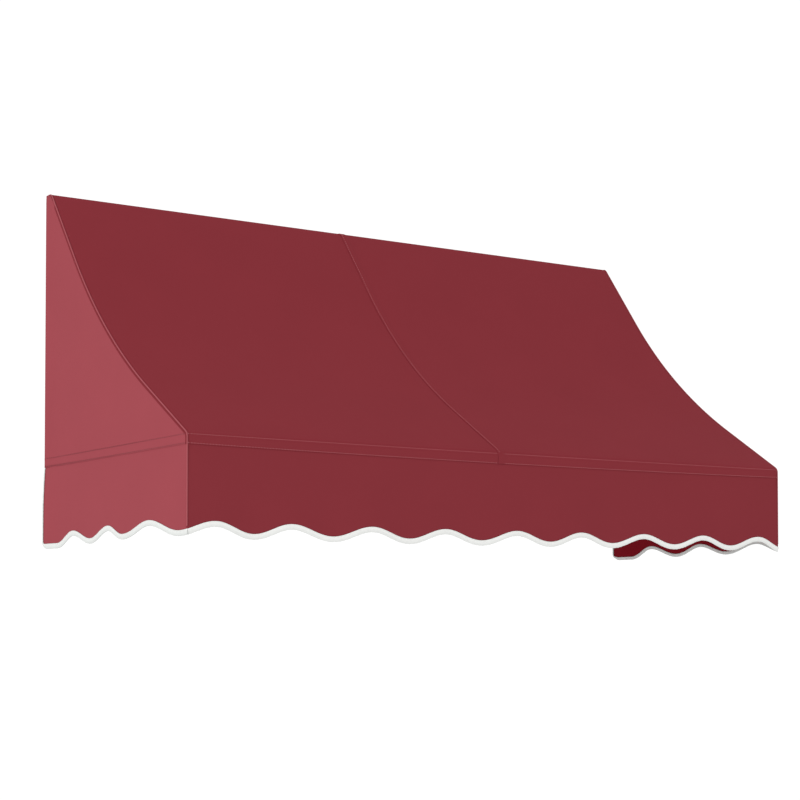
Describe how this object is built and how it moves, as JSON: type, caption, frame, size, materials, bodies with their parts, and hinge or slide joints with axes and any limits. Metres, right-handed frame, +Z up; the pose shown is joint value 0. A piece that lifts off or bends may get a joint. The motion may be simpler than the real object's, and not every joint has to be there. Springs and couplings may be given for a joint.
{
  "type": "window awning",
  "caption": "Fixed window awning with a concave roof, gable wings and a scalloped, white-bound valance on a tube frame.",
  "frame": {"origin": "centre of the back face of the upper middle wall plate, on the wall", "axes": "+X along the wall to the right, +Y into the wall, +Z up"},
  "size_m": [1.656, 0.664, 0.8052],
  "materials": {
    "cover_cloth": "matte woven",
    "binding_tape": "matte woven tape",
    "tube_steel": "galvanised, satin",
    "plate_steel": "galvanised, satin",
    "plug_plastic": "moulded, matte"
  },
  "bodies": {
    "root": {"base_arm_left": "tube_steel", "base_arm_middle": "tube_steel", "base_arm_right": "tube_steel", "binding_front": "binding_tape", "binding_left": "binding_tape", "binding_right": "binding_tape", "eave_bar": "tube_steel", "eave_plug_left": "plug_plastic", "eave_plug_right": "plug_plastic", "header_bar": "tube_steel", "header_plug_left": "plug_plastic", "header_plug_right": "plug_plastic", "lower_plate_left": "plate_steel", "lower_plate_middle": "plate_steel", "lower_plate_right": "plate_steel", "rafter_left": "tube_steel", "rafter_middle": "tube_steel", "rafter_right": "tube_steel", "roof_panel_left": "cover_cloth", "roof_panel_right": "cover_cloth", "upper_plate_left": "plate_steel", "upper_plate_middle": "plate_steel", "upper_plate_right": "plate_steel", "upright_left": "tube_steel", "upright_middle": "tube_steel", "upright_right": "tube_steel", "valance_front": "cover_cloth", "valance_left": "cover_cloth", "valance_right": "cover_cloth", "wall_bar": "tube_steel", "wall_plug_left": "plug_plastic", "wall_plug_right": "plug_plastic", "wing_left": "cover_cloth", "wing_right": "cover_cloth"}
  },
  "joints": []
}
